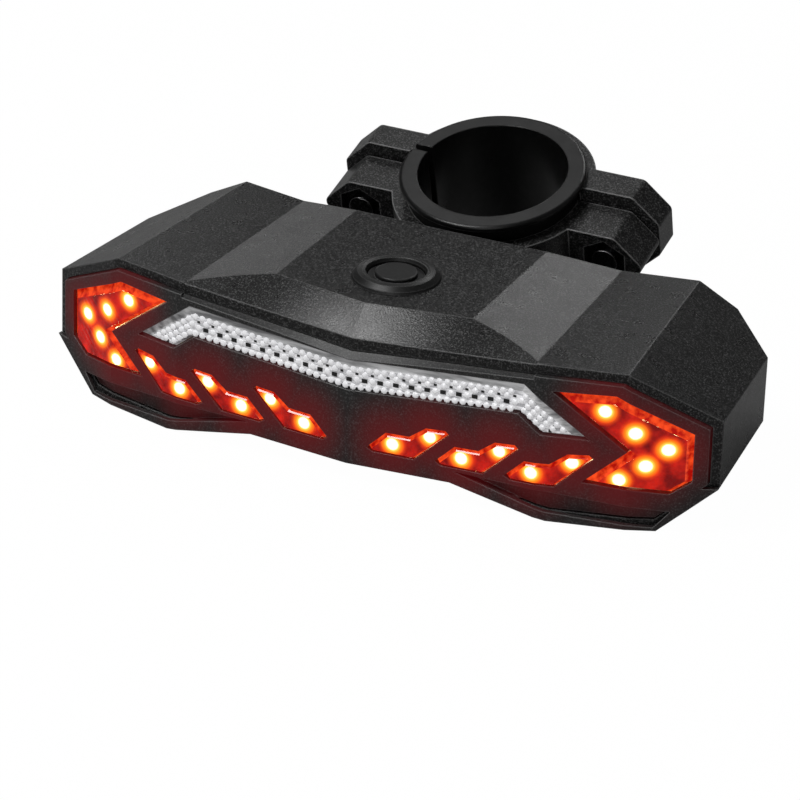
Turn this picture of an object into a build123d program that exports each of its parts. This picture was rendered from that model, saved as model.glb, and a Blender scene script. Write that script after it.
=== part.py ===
from build123d import *
import math
import os

# A wide rear light for a bicycle with turn-signal arrows, on a seat-post clamp.
# Millimetres.  +X is the light's right seen from behind the bicycle, -Y is the
# way the lenses face, +Z is up.  The origin is the middle of the clamp's bore.
# The light is drawn in its own frame, with the crease of the front plate at
# y = 0 and the flat underside at z = 0, and moved to the clamp at the end.

# Driving sizes
half_width = 68.2          # half the width in the plane of the front crease
height = 32.8              # flat underside to the raised middle of the top
depth = 51.0               # front crease to the rearmost edge of the shell
wall = 1.8                 # shell wall, seen as a rim round the front plate
end_sweep = 13.8           # how far back the front plate's ends are
post_behind = 63.9         # front crease to the clamp's middle
post_above = 28.3          # flat underside to the clamp's middle
post_lean = 15.0           # degrees, the seat post leans towards the lenses
fit = 0.15                 # between pieces that go into each other
slip = 0.1                 # between a shaft and its hole
soft_gap = 0.3             # between rubber and a piece that moves past it
overrun = 3.0              # cutters run this far past what they cut

# front plate and rim
rim_set_back = 1.2         # the rim ends this far behind the plate's face
rim_end_height = 8.7       # below this the plate covers the whole front
plate_thickness = 2.6
skirt_depth = 11.5         # the plate's skirt goes this far into the shell
skirt_wall = 1.5
groove_depth = 1.7         # dark wedge-shaped grooves over the lips
rim_bevel_front = 28.0     # height of the rim on the crease
rim_bevel_rise = 2.2       # the rim climbs this much out to the valleys
bevel_run = 5.25           # the bevel over the rim on the crease: run and rise
bevel_side_run = 8.05      # and at the valleys
bevel_side_rise = 2.4
bevel_valley_back = 3.0    # the valley's front end is this far behind the crease's

# outline of the casing seen from the front: shares of half_width and height,
# right half from the top centre to the bottom centre
front_outline_share = [(0, 1), (0.288, 1), (0.514, 0.921), (0.756, 0.915),
                       (0.998, 0.659), (1.0, 0.265), (0.848, 0), (0.562, 0),
                       (0.294, 0.122), (0, 0.107)]
back_outline_share = [(0, 1), (0.285, 1), (0.478, 0.918), (0.686, 0.911),
                      (0.925, 0.656), (0.925, 0.265), (0.79, 0), (0.53, 0),
                      (0.27, 0), (0, 0)]
# plan of the front plate: shares of half_width and end_sweep
face_plan_share = [(0, 0), (0.528, 0.167), (0.762, 0.471), (1.0, 1.0)]
# plan of the back: shares of half_width and depth, from the side to the middle
back_plan_share = [(1.06, 0.70), (0.80, 1.0), (0.69, 1.0), (0.48, 0.932),
                   (0.285, 0.843), (0, 0.837)]

# lenses, places in the light's frame
lens_gap = 0.1
chevrons = 3               # on each side
lens_flange = 0.9          # the lens's rim behind the plate: width and thickness
bar_half = 0.4883 * half_width    # half length of the bar's top edge
bar_low = 18.2             # bar's lower and upper edge on the crease
bar_high = 24.2
bar_rise = 2.1             # both edges climb this much out to the ends
bar_end = 0.6642 * half_width     # tip of the downturned end
bar_end_low = 16.9
bar_corner = 0.5381 * half_width
arrow_left = 0.5616 * half_width  # inner tip of the right arrow
arrow_width = 0.3556 * half_width
arrow_bottom = 7.4
arrow_height = 18.7
arrow_outline_share = [(0, 0.98), (0.462, 1), (0.998, 0.642), (1, 0.139),
                       (0.849, 0), (0.241, 0.059), (0.553, 0.422)]
chevron_first = 0.0572 * half_width    # inner tip of the innermost right chevron
chevron_pitch = 0.1935 * half_width
chevron_width = 0.2317 * half_width
chevron_height = 7.1
chevron_bottom = 6.9
chevron_outline_share = [(0, 0.10), (0.234, 0.61), (0.519, 0.63), (0.715, 0.96),
                         (0.949, 1), (1, 0.9), (0.582, 0.01), (0.07, 0)]
groove_tip = 0.3006 * half_width  # inner point of the groove
groove_end = 0.8695 * half_width
groove_tip_height = 6.3
groove_outline_share = [(0, 1), (0.45, 0.93), (1, 0.62), (0.93, 0.1), (0.45, 0.28)]

# lamps and boards
board = 1.2
led_radius = 1.5
led_length = 3.2
led_foot = 0.6
centre_board_half = 0.6437 * half_width
centre_board_front = 11.0
board_bottom = 7.5
board_height = 18.3
end_board_place = 0.7889 * half_width   # middle of the angled end boards
end_board_width = 0.2551 * half_width
end_board_back = 15.0
end_board_turn = 21.0      # degrees
arrow_led_share = [(0.385, 0.83), (0.605, 0.63), (0.83, 0.47), (0.685, 0.29),
                   (0.508, 0.13)]
chevron_led_share = [(0.315, 0.32), (0.765, 0.74)]
bar_led_count = 9
bar_led_pitch = 6.6
bar_led_height = 21.6
led_post_radius = 2.2
led_post_low = 8.4
led_post_high = 14.8

# inside
control_half = 25.0
control_front = 14.5
control_back = 38.0
control_level = 23.0
control_board = 1.6
control_post = 2.6         # radius of the posts under the top wall
control_post_front = 20.5
screw_shank = 1.1
screw_head = 2.1
screw_head_height = 1.3
cell_radius = 9.2
cell_length = 65.0
cell_back = 27.0           # cell axis behind the crease
cell_lift = 0.3
cap_radius = 3.2
cap_length = 1.0
cradle_place = 22.0
cradle_width = 3.0
horn_radius = 9.0
horn_height = 6.0
horn_gap = 3.5             # between the cell's end and the sounder
horn_side = cell_length / 2 + horn_gap + horn_radius
horn_back = 29.0
sound_hole = 1.2
sound_ring = 4.0
sound_holes = 7
slot = 0.5                 # screwdriver slot
tab_size = 7.0             # screw tabs of the front plate
tab_height = 7.0
gasket_place = 9.0         # gasket behind the face, its width and depth
gasket_wide = 1.6
gasket_deep = 0.8
tab_screw_length = 5.5
post_screw_length = 5.0
lead_radius = 0.6          # wires
lead_gap = 0.2             # between a wire's end and the board it is soldered to
lead_bend = 3.0            # radius of a wire's bends
antenna_bend = 1.5
baffle_half = 0.5572 * half_width # black wall between the bar's lamps and the chevrons'
baffle_low = 17.2
baffle_wall = 1.0
chip_size = 5.0
chip_height = 1.0
chip_places = [(-14.0, 24.5), (-4.0, 33.0), (7.5, 30.0)]
radio_side = 12.5          # radio module on the main board, left of the middle
radio_back = 32.0
radio_wide = 9.0
radio_deep = 7.0
radio_thick = 1.8
antenna_wide = 12.0
antenna_deep = 3.0
cable_side = 10.0

# button
button_back = 19.3
collar_radius = 8.25
collar_height = 1.5
collar_bore = 5.4
collar_spigot = 1.0
button_radius = 3.95
button_rise = 0.9          # disc above the groove's floor
button_floor = 0.3         # groove's floor above the top
button_flange = 1.2
stem_radius = 2.0
travel = 0.8
seal_thickness = 0.7
switch_size = 6.0
switch_height = 3.0
plunger_radius = 1.6
collar_profile_share = [(1, 0), (0.97, 0.35), (0.86, 0.85), (0.76, 1), (0.69, 0.9)]

# charging port, on the right of the back
port_side = 0.7434 * half_width
port_height = 16.5
port_tall = 8.9
port_wide = 3.2
port_deep = 7.3
port_shell = 0.35
port_tongue = 0.7
plug_wide = 6.6
plug_tall = 12.4
plug_thick = 1.1
plug_reach = 1.4
port_recess = 2.0          # the port's tongue starts this far inside
port_board_tall = 13.0
port_board_deep = 12.0

plug_pin_radius = 0.25     # pin that the rubber flap swings on
plug_pin_half = 4.0
plug_pin_up = 0.7          # pin above the flap's lower end

# tilt joint
pivot_back = 47.6
pivot_height = 8.0
pivot_bolt = 2.0
lug_radius = 4.8
lug_thick = 3.6
knuckle_half = 8.6
nut_flats_small = 7.0
nut_thick_small = 3.2
head_radius_small = 3.5
head_height_small = 2.8
washer_gap = 0.2

# clamp, drawn round its own axis
bore = 14.3                # radius of the liner's bore, for a 28.6 mm seat post
liner_wall = 2.2
flange_radius = 17.8
flange = 1.4
flange_round = 0.6
liner_drop = 2.0           # the liner's lower end is this much longer
liner_slit = 1.6
clamp_half_height = 10.3   # liner's flange to the middle
rear_top = 8.6             # rear half's top over the middle
front_top = 5.9            # front half's top over the middle
ring_wall = 3.0
split_back = 1.9                # the halves part this far behind the bore's middle
split_gap = 0.6
ear_half = 32.7
ear_front = 7.0
ear_back = 8.6
ear_corner = 5.2
ear_round = 1.5            # rounding where the ears' faces meet along the screws
screw_side = 25.3
screw_radius = 2.5
screw_nut_flats = 8.0
screw_nut_thick = 4.0
screw_head_radius = 4.2
screw_head_deep = 4.0
screw_socket = 4.0         # across the flats of the socket
screw_tip = 1.4            # thread past the nut
pocket_floor = -1.6        # bottom of the nut pockets
knuckle_radius = 4.5


def at(x, y, z, shape):
    """Move a shape to a place."""
    return Pos(x, y, z) * shape


def mirrored(right_half):
    """Close a right half outline with its mirror image."""
    left = [(-x, z) for x, z in reversed(right_half) if x > 0]
    return right_half + left


def across(points):
    """The same points on the left side, run the other way round."""
    return [(-x, z) for x, z in reversed(points)]


def grown(points, step):
    """Move every side of a closed outline outwards, or inwards if below 0."""
    area = sum(a[0] * b[1] - b[0] * a[1] for a, b in zip(points, points[1:] + points[:1]))
    way = 1 if area > 0 else -1
    result = []
    for before, here, after in zip(points[-1:] + points[:-1], points, points[1:] + points[:1]):
        ax, ay = here[0] - before[0], here[1] - before[1]
        bx, by = after[0] - here[0], after[1] - here[1]
        la, lb = math.hypot(ax, ay), math.hypot(bx, by)
        na, nb = (way * ay / la, -way * ax / la), (way * by / lb, -way * bx / lb)
        turn = 1 + na[0] * nb[0] + na[1] * nb[1]
        result.append((here[0] + step * (na[0] + nb[0]) / turn,
                       here[1] + step * (na[1] + nb[1]) / turn))
    return result


def facing(points, y):
    """A flat outline in x and z at a depth y."""
    plane = Plane((0, y, 0), x_dir=(1, 0, 0), z_dir=(0, -1, 0))
    return plane * Polygon(*points, align=None)


def slab(points, near, far):
    """An outline in x and z, drawn out from y = near to y = far."""
    return extrude(facing(points, near), amount=far - near, dir=(0, 1, 0))


def column(points, low, high):
    """An outline in x and y, drawn out from z = low to z = high."""
    return at(0, 0, low, extrude(Polygon(*points, align=None), amount=high - low, dir=(0, 0, 1)))


def beam(points, left, right):
    """An outline in y and z, drawn out from x = left to x = right."""
    plane = Plane((left, 0, 0), x_dir=(0, 1, 0), z_dir=(1, 0, 0))
    return extrude(plane * Polygon(*points, align=None), amount=right - left, dir=(1, 0, 0))


def box(x0, x1, y0, y1, z0, z1):
    """A box between two corners."""
    return at((x0 + x1) / 2, (y0 + y1) / 2, (z0 + z1) / 2, Box(x1 - x0, y1 - y0, z1 - z0))


def rod(radius, length, x, y, z, axis="z"):
    """A cylinder that starts at a place and runs along +x, +y or +z."""
    turns = {"x": Rot(0, 90, 0), "y": Rot(-90, 0, 0), "z": Rot(0, 0, 0)}
    lengthwise = Cylinder(radius, length, align=(Align.CENTER, Align.CENTER, Align.MIN))
    return at(x, y, z, turns[axis] * lengthwise)


def hexagon(flats, length, x, y, z, axis="y", point_up=True):
    """A hexagonal prism that starts at a place and runs along +x, +y or +z."""
    turns = {"x": Rot(0, 90, 0), "y": Rot(-90, 0, 0), "z": Rot(0, 0, 0)}
    shape = extrude(RegularPolygon(flats / 2, 6, major_radius=False,
                                   rotation=30 if point_up else 0), amount=length)
    return at(x, y, z, turns[axis] * shape)


def both_sides(shape):
    """A shape together with its mirror image."""
    return shape + mirror(shape, about=Plane.YZ)


# The casing's outer form, at any inset

front_points = mirrored([(x * half_width, z * height) for x, z in front_outline_share])
back_points = mirrored([(x * half_width, z * height) for x, z in back_outline_share])
face_line = [(x * half_width, y * end_sweep) for x, y in face_plan_share]
back_line = [(x * half_width, y * depth) for x, y in back_plan_share]
valley_side = front_outline_share[2][0] * half_width


def face_depth(x):
    """Depth y of the front plate's face at a side place x."""
    x = abs(x)
    for (x0, y0), (x1, y1) in zip(face_line, face_line[1:]):
        if x <= x1:
            return y0 + (y1 - y0) * (x - x0) / (x1 - x0)
    return face_line[-1][1]


def band(near, far):
    """Everything between two copies of the front plate's face, moved back."""
    reach = [(half_width + overrun, face_line[-1][1] + overrun / 2)]
    right = face_line + reach
    front = [(-x, y + near) for x, y in reversed(right)] + [(x, y + near) for x, y in right[1:]]
    back = [(x, y + far) for x, y in reversed(right)] + [(-x, y + far) for x, y in right[1:]]
    return column(front + back, -overrun, height + overrun)


def plan(front_step, back_inset):
    """The casing's plan, from the moved face back to the inset back wall."""
    back = grown(mirrored_plan(), -back_inset) if back_inset else mirrored_plan()
    body = column(back, -overrun, height + overrun)
    return body - band(-depth, front_step)


def mirrored_plan():
    """The whole plan with the back line, open well past the front."""
    right = [(0, -depth), (half_width + end_sweep, -depth)] + back_line[:-1]
    return right + [(0, back_line[-1][1])] + [(-x, y) for x, y in reversed(right) if x > 0]


def bevel_section(x, start, run, rise, inset):
    """One end of the cutter over the rim, a sloping line with all above it."""
    length = math.hypot(run, rise)
    y0 = start[0] + inset * rise / length
    z0 = start[1] - inset * run / length
    below, above = 2, 3
    low = (y0 - below * run, z0 - below * rise)
    high = (y0 + above * run, z0 + above * rise)
    top = height * 2
    plane = Plane((x, 0, 0), x_dir=(0, 1, 0), z_dir=(1, 0, 0))
    return plane * Polygon(low, high, (high[0], top), (low[0], top), align=None)


def bevel_cutter(inset):
    """Cuts the sloping facet between the rim and the raised middle."""
    crease = (rim_set_back, rim_bevel_front)
    valley = (rim_set_back + bevel_valley_back, rim_bevel_front + rim_bevel_rise)
    middle = bevel_section(0, crease, bevel_run, height - rim_bevel_front, inset)
    side = bevel_section(valley_side, valley, bevel_side_run, bevel_side_rise, inset)
    return both_sides(loft([middle, side], ruled=True))


def casing_block(inset, front_step):
    """The casing's solid form with every wall moved in by the inset."""
    front = facing(grown(front_points, -inset), 0)
    back = facing(grown(back_points, -inset), depth)
    block = loft([front, back], ruled=True) & plan(front_step, inset)
    return block - bevel_cutter(inset)


# Outlines of lenses

def arrow_points():
    """Right arrow lens."""
    return [(arrow_left + x * arrow_width, arrow_bottom + z * arrow_height)
            for x, z in arrow_outline_share]


def chevron_points(number):
    """Right chevron lens, counted from the middle."""
    left = chevron_first + number * chevron_pitch
    return [(left + x * chevron_width, chevron_bottom + z * chevron_height)
            for x, z in chevron_outline_share]


def bar_points():
    """Clear bar lens with downturned ends, the whole outline."""
    right = [(0, bar_high), (bar_half, bar_high + bar_rise), (bar_end, bar_end_low),
             (bar_corner, bar_end_low), (bar_half - lens_flange, bar_low + bar_rise),
             (0, bar_low)]
    return mirrored(right)


def groove_points():
    """Right wedge-shaped groove between the lenses and the lip."""
    return [(groove_tip + x * (groove_end - groove_tip), z * groove_tip_height)
            for x, z in groove_outline_share]


def window(points):
    """Opening in the front plate for a lens, with room for its flange behind."""
    hole = slab(points, -overrun, end_sweep + skirt_depth) & band(-overrun, plate_thickness + overrun)
    seat = slab(grown(points, lens_flange + lens_gap), -overrun, end_sweep + skirt_depth)
    return hole + (seat & band(plate_thickness, plate_thickness + lens_flange + lens_gap))


def lens(points):
    """A lens flush with the plate, with a flange behind it."""
    far = end_sweep + skirt_depth
    clear = slab(grown(points, -lens_gap), -overrun, far) & band(0, plate_thickness + lens_flange)
    rim = slab(grown(points, lens_flange), -overrun, far)
    rim = rim & band(plate_thickness, plate_thickness + lens_flange)
    return clear + rim


# Casing

to_part = Pos(0, -post_behind, -post_above)
control_under = control_level + control_board
post_places = [(x, y) for x in (-control_half + control_post, control_half - control_post)
               for y in (control_post_front, control_back - control_post)]
tab_side_share = 0.7
tab_side = tab_side_share * half_width
inner = wall + fit                       # outside of everything inside the shell
skirt_inner = inner + skirt_wall
tab_back = face_depth(tab_side) + skirt_depth - tab_size / 2
tab_screws = [(-tab_side, tab_back), (tab_side, tab_back)]
back_middle = back_line[-1][1]
lug_inner = knuckle_half + washer_gap
cell_level = wall + cell_lift + cell_radius


def rear_housing():
    """Deep shell with posts, cell cradle, tilt lugs, port recess and sound holes."""
    hollow = casing_block(wall, -overrun)
    shell = casing_block(0, rim_set_back) - hollow
    posts = [rod(control_post, height - wall / 2 - control_under, x, y, control_under)
             for x, y in post_places]
    cradles = [box(x - cradle_width / 2, x + cradle_width / 2, cell_back - cell_radius / 2,
                   cell_back + cell_radius / 2, wall / 2, cell_level)
               for x in (-cradle_place, cradle_place)]
    boss = box(port_side - plug_wide, port_side + plug_wide, depth - port_deep, depth - wall / 2,
               port_height - plug_tall / 2 - wall, port_height + plug_tall / 2 + wall)
    lug = lug_plate(lug_inner, lug_inner + lug_thick) - hollow
    solid = casing_block(wall / 2, rim_set_back)
    for piece in [piece & solid for piece in posts + cradles + [boss]] + [both_sides(lug)]:
        shell = shell + piece
    pilots = [rod(screw_shank, control_post * 2, x, y, control_under - fit) for x, y in post_places]
    cutters = pilots + [
        rod(cell_radius + slip, cell_length, -cell_length / 2, cell_back, cell_level, "x"),
        rod(collar_bore + collar_spigot + fit, height, 0, button_back, control_under + collar_bore),
        port_shape(port_wide + 2 * fit, port_tall + 2 * fit, depth - port_deep * 2, depth + overrun),
        port_shape(plug_wide + 2 * soft_gap, plug_tall + 2 * soft_gap,
                   depth - plug_thick - soft_gap, depth + overrun),
        port_board(fit), plug_room(), plug_pin(plug_pin_radius),
        rod(pivot_bolt + slip, 2 * (lug_inner + lug_thick + overrun), -lug_inner - lug_thick - overrun,
            pivot_back, pivot_height, "x")]
    for x, y in tab_screws:
        cutters.append(rod(screw_shank + fit, wall * 2, x, y, -wall / 2))
        cutters.append(rod(screw_head + fit, screw_head_height, x, y, -screw_head_height / 2))
    for number in range(sound_holes):
        angle = number * 2 * math.pi / (sound_holes - 1)
        out = sound_ring if number else 0
        cutters.append(rod(sound_hole, wall * 3, -horn_side + out * math.cos(angle),
                           horn_back + out * math.sin(angle), -wall))
    for cutter in cutters:
        shell = shell - cutter
    return shell


def lug_plate(left, right):
    """One plate of the tilt joint, from the back wall to the cross screw."""
    web = beam([(back_middle - wall / 2, pivot_height - lug_radius),
                (pivot_back, pivot_height - lug_radius), (pivot_back, pivot_height + lug_radius),
                (back_middle - wall / 2, pivot_height + lug_radius + wall)], left, right)
    return web + rod(lug_radius, right - left, left, pivot_back, pivot_height, "x")


def port_shape(wide, tall, near, far):
    """A slot with round ends, standing upright in the back wall."""
    plane = Plane((port_side, near, port_height), x_dir=(1, 0, 0), z_dir=(0, -1, 0))
    return extrude(plane * SlotOverall(tall, wide, rotation=90), amount=far - near, dir=(0, 1, 0))


def front_bezel():
    """V-shaped front plate with lens windows, grooves, skirt and screw tabs."""
    cup = casing_block(inner, 0) & band(-overrun, skirt_depth)
    hollow = casing_block(skirt_inner, 0) & band(plate_thickness, skirt_depth + overrun)
    low = box(-half_width * 2, half_width * 2, -overrun, end_sweep * 2, -overrun, rim_end_height)
    apron = casing_block(0, 0) & band(-overrun, rim_set_back - fit) & low
    plate = cup - hollow + apron
    for x, y in tab_screws:
        plate = plate + (box(x - tab_size / 2, x + tab_size / 2, y - tab_size / 2, y + tab_size / 2,
                             inner, tab_height) & casing_block(inner, 0))
    for level in (led_post_low, led_post_high):
        plate = plate + rod(led_post_radius, centre_board_front - plate_thickness / 2,
                            0, plate_thickness / 2, level, "y")
    cutters = [window(bar_points())]
    for points in [arrow_points()] + [chevron_points(n) for n in range(chevrons)]:
        cutters += [window(points), window(across(points))]
    groove = slab(groove_points(), -overrun, end_sweep * 2) & band(-overrun, groove_depth)
    cutters.append(both_sides(groove))
    cutters += [rod(screw_shank, tab_screw_length + screw_head_height, x, y, 0) for x, y in tab_screws]
    cutters += [rod(screw_shank, centre_board_front - plate_thickness, 0, plate_thickness + fit,
                    level, "y") for level in (led_post_low, led_post_high)]
    cutters.append(gasket_ring(0, 0))
    for cutter in cutters:
        plate = plate - cutter
    return plate


def gasket_ring(side_gap, end_gap):
    """Rubber ring in the skirt, a little inside the shell."""
    ring = casing_block(wall + end_gap, 0) - casing_block(inner + gasket_deep - side_gap, -wall)
    return ring & band(gasket_place + side_gap, gasket_place + gasket_wide - side_gap)


def led(x, y, z):
    """One round-topped lamp with a foot, pointing to -y from its board."""
    body = rod(led_radius, led_length - led_radius, x, y - led_length + led_radius, z, "y")
    dome = at(x, y - led_length + led_radius, z, Sphere(led_radius))
    return body + dome + rod(led_radius + led_foot / 2, led_foot, x, y - led_foot, z, "y")


def centre_board():
    """Flat board behind the bar and the chevrons."""
    plate = box(-centre_board_half, centre_board_half, centre_board_front,
                centre_board_front + board, board_bottom, board_bottom + board_height)
    for level in (led_post_low, led_post_high):
        plate = plate - rod(screw_shank + slip, board * 3, 0, centre_board_front - board, level, "y")
    return plate


def in_end_board(x, y, z, shape):
    """Places a shape drawn on the right end board's own front face."""
    return Pos(end_board_place, end_board_back, 0) * Rot(0, 0, end_board_turn) * at(x, y, z, shape)


def end_board():
    """Right angled board behind the arrow."""
    flat = box(-end_board_width / 2, end_board_width / 2, 0, board, board_bottom, height)
    return in_end_board(0, 0, 0, flat) & casing_block(skirt_inner + fit, 0)


def arrow_leds(side):
    """Five lamps of one arrow as separate solids."""
    lamps = []
    for x, z in arrow_led_share:
        place = (arrow_left + x * arrow_width - end_board_place) / math.cos(math.radians(end_board_turn))
        lamp = in_end_board(0, 0, 0, led(place, 0, arrow_bottom + z * arrow_height))
        lamps.append(lamp if side > 0 else mirror(lamp, about=Plane.YZ))
    return lamps


def chevron_leds():
    """Two lamps behind each chevron."""
    lamps = []
    for number in range(chevrons):
        left = chevron_first + number * chevron_pitch
        for x, z in chevron_led_share:
            for side in (-1, 1):
                lamps.append(led(side * (left + x * chevron_width), centre_board_front,
                                 chevron_bottom + z * chevron_height))
    return lamps


def bar_leds():
    """A row of lamps behind the clear bar."""
    start = -(bar_led_count - 1) / 2 * bar_led_pitch
    return [led(start + n * bar_led_pitch, centre_board_front, bar_led_height)
            for n in range(bar_led_count)]


# Inside

def light_baffle():
    """Black wall between the lamps of the bar and those of the chevrons."""
    wide = box(-baffle_half, baffle_half, 0, centre_board_front - slip, baffle_low,
               baffle_low + baffle_wall)
    return wide & band(plate_thickness + lens_flange + slip, centre_board_front)


def board_screws():
    """Two screws from behind through the centre board into the plate's posts."""
    seat = centre_board_front + board
    screws = []
    for level in (led_post_low, led_post_high):
        head = rod(screw_head, screw_head_height, 0, seat, level, "y")
        shank = rod(screw_shank - slip, post_screw_length, 0, seat - post_screw_length, level, "y")
        cross = box(-screw_head, screw_head, seat + screw_head_height - slot,
                    seat + screw_head_height, level - slot / 2, level + slot / 2)
        screws.append(head + shank - cross)
    return screws


def control_plate():
    """Main board, hung under the top."""
    plate = box(-control_half, control_half, control_front, control_back, control_level, control_under)
    for x, y in post_places:
        plate = plate - rod(screw_shank + slip, control_board * 3, x, y, control_level - control_board)
    return plate


def control_chips():
    """Chips under the main board."""
    half = chip_size / 2
    return [box(x - half, x + half, y - half, y + half, control_level - chip_height, control_level)
            for x, y in chip_places]


def radio_module():
    """Small radio board on the main board."""
    return box(-radio_side - radio_wide / 2, -radio_side + radio_wide / 2, radio_back - radio_deep,
               radio_back, control_under, control_under + radio_thick)


def antenna():
    """Folded wire antenna behind the radio board."""
    level = control_under + lead_radius + slip
    near, far = radio_back + lead_radius * 2, radio_back + antenna_deep
    left = -radio_side - antenna_wide / 3
    step = antenna_wide / 4
    zigzag = [(left + n * step, near if n % 2 else far, level) for n in range(4)]
    return lead(zigzag, antenna_bend)


def small_screw(length, head_at, way, x, y):
    """Pan-head screw along z, its head outwards from a level."""
    head = rod(screw_head, screw_head_height, x, y, head_at - (screw_head_height if way > 0 else 0))
    shank = rod(screw_shank - slip, length, x, y, head_at - (0 if way > 0 else length))
    cross = box(x - screw_head * 0.6, x + screw_head * 0.6, y - slot / 2, y + slot / 2,
                head_at - way * screw_head_height - slot / 2, head_at - way * screw_head_height + slot / 2)
    return head + shank - cross


def power_button():
    """Cap with a raised disc, a flange in the collar and a stem."""
    floor = height + button_floor
    disc = rod(button_radius, button_rise, 0, button_back, floor)
    edge = disc.edges().group_by(Axis.Z)[-1]
    disc = fillet(edge, button_rise / 3)
    flange_disc = rod(collar_bore - fit, button_flange, 0, button_back, floor - button_flange)
    low = control_under + switch_height + travel
    stem = rod(stem_radius, floor - low, 0, button_back, low)
    return disc + flange_disc + stem


def button_collar():
    """Raised round collar with a sloping outer face and a spigot in the top wall."""
    outline = [(collar_bore, 0)] + [(x * collar_radius, z * collar_height)
                                    for x, z in collar_profile_share] + [(collar_bore, collar_height / 2)]
    profile = Plane.XZ * make_face(Polyline(*outline, close=True))
    ring = at(0, button_back, height, revolve(profile, axis=Axis.Z))
    spigot = rod(collar_bore + collar_spigot, wall, 0, button_back, height - wall)
    return ring + (spigot - rod(collar_bore, wall * 3, 0, button_back, height - wall * 2))


def button_seal():
    """Rubber ring under the top wall round the stem."""
    low = height - wall - seal_thickness
    ring = rod(collar_bore + collar_spigot * 2, seal_thickness, 0, button_back, low)
    return ring - rod(stem_radius + soft_gap, height, 0, button_back, control_under)


def tact_switch():
    """Square switch on the main board with a hole for its plunger."""
    half = switch_size / 2
    case = box(-half, half, button_back - half, button_back + half, control_under,
               control_under + switch_height)
    return case - rod(plunger_radius + slip, switch_height, 0, button_back, control_under + board / 2)


def switch_plunger():
    """Round plunger between the switch and the button's stem."""
    low = control_under + board / 2 + travel + slip
    high = control_under + switch_height + travel
    return rod(plunger_radius, high - low, 0, button_back, low)


def battery_cell():
    """Round lithium cell lying across the light."""
    can = rod(cell_radius, cell_length - cap_length, -cell_length / 2, cell_back, cell_level, "x")
    tip = rod(cap_radius, cap_length, cell_length / 2 - cap_length, cell_back, cell_level, "x")
    return can + tip


def horn_disc():
    """Round sounder over the sound holes."""
    case = rod(horn_radius, horn_height, -horn_side, horn_back, wall + fit)
    return case - rod(sound_ring, horn_height / 3, -horn_side, horn_back, wall)


def charge_port():
    """Upright charging socket: metal shell with a tongue inside."""
    far = depth - plug_thick - soft_gap
    shell = port_shape(port_wide, port_tall, far - port_deep, far)
    hole = port_shape(port_wide - 2 * port_shell, port_tall - 2 * port_shell,
                      far - port_deep + port_shell, far + overrun)
    return shell - hole


def port_tongue_plate():
    """Contact tongue of the charging socket."""
    far = depth - plug_thick - soft_gap
    half = port_tall / 2 - port_wide / 2 + port_shell
    return box(port_side - port_tongue / 2, port_side + port_tongue / 2, far - port_deep + port_shell,
               far - port_recess, port_height - half, port_height + half)


def plug_room():
    """Square end of the flap's recess, where its foot turns round the pin."""
    half = plug_wide / 2 + soft_gap
    low = port_height - plug_tall / 2
    return box(port_side - half, port_side + half, depth - plug_thick - 2 * soft_gap,
               depth + overrun, low - soft_gap, low + 2 * plug_pin_up)


def plug_pin(radius):
    """Thin pin across the flap's lower end, or its hole."""
    return rod(radius, plug_pin_half * 2, port_side - plug_pin_half, depth - plug_thick / 2,
               port_height - plug_tall / 2 + plug_pin_up, "x")


def port_plug():
    """Rubber flap with a short tongue that closes the charging socket."""
    flap = port_shape(plug_wide, plug_tall, depth - plug_thick, depth)
    reach = port_shape(port_wide - 2 * port_shell - 2 * soft_gap, port_tall - 2 * port_shell - wall,
                       depth - plug_thick - soft_gap - plug_reach, depth - plug_thick)
    return flap + reach - plug_pin(plug_pin_radius + slip / 2)


def port_board(gap):
    """Small upright board that carries the charging socket, or its slot."""
    side = port_side + port_wide / 2
    far = depth - port_deep
    return box(side + slip - gap, side + slip + board + gap, far - port_board_deep,
               far + port_deep / 2 - wall + gap, port_height - port_board_tall / 2 - gap,
               port_height + port_board_tall / 2 + gap)


def lead(points, bend=lead_bend):
    """A round wire along straight runs joined by arcs."""
    route = FilletPolyline(*points, radius=bend)
    start = Plane(origin=points[0], z_dir=route % 0)
    return sweep(start * Circle(lead_radius), path=route)


lead_level = (control_level + cell_level + cell_radius) / 2


def over_cell(x, y, low):
    """A wire that rises from a place beside the cell and runs over it to the main board."""
    end = math.copysign(control_half - control_post, x)
    return lead([(x, y, low), (x, y, lead_level), (end, y, lead_level)])


def battery_lead():
    """Wire from the cell's tip to the main board."""
    return over_cell(cell_length / 2 + lead_radius * 3, cell_back, cell_level)


def horn_lead():
    """Wire from the sounder to the main board."""
    return over_cell(-horn_side, cell_back + cap_radius,
                     wall + fit + horn_height + lead_radius + lead_gap)


def port_lead():
    """Wire from the charging socket's board to the main board."""
    return over_cell(port_side + port_wide / 2 + slip + board / 2,
                     depth - port_deep - port_board_deep - lead_radius - lead_gap, port_height)


def board_cable():
    """Wire from the main board to the centre board."""
    level = control_level - lead_radius - lead_gap
    back = centre_board_front + board + lead_radius + lead_gap
    return lead([(cable_side, control_front + lead_bend, level), (cable_side, back, level),
                 (cable_side, back, level - lead_bend * 2)])


def end_leads():
    """Wires from the centre board to both end boards."""
    back = centre_board_front + board + lead_radius + lead_gap
    level = board_bottom + board_height * 2 / 3
    far = end_board_place - end_board_width / 3
    far_back = end_board_back + board - (end_board_place - far) * math.tan(math.radians(end_board_turn))
    wire = lead([(centre_board_half - lead_radius * 3, back, level),
                 (centre_board_half + lead_radius, back + lead_radius * 2, level),
                 (far, far_back + 2 * lead_radius, level)])
    return [wire, mirror(wire, about=Plane.YZ)]


# Tilt joint

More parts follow.
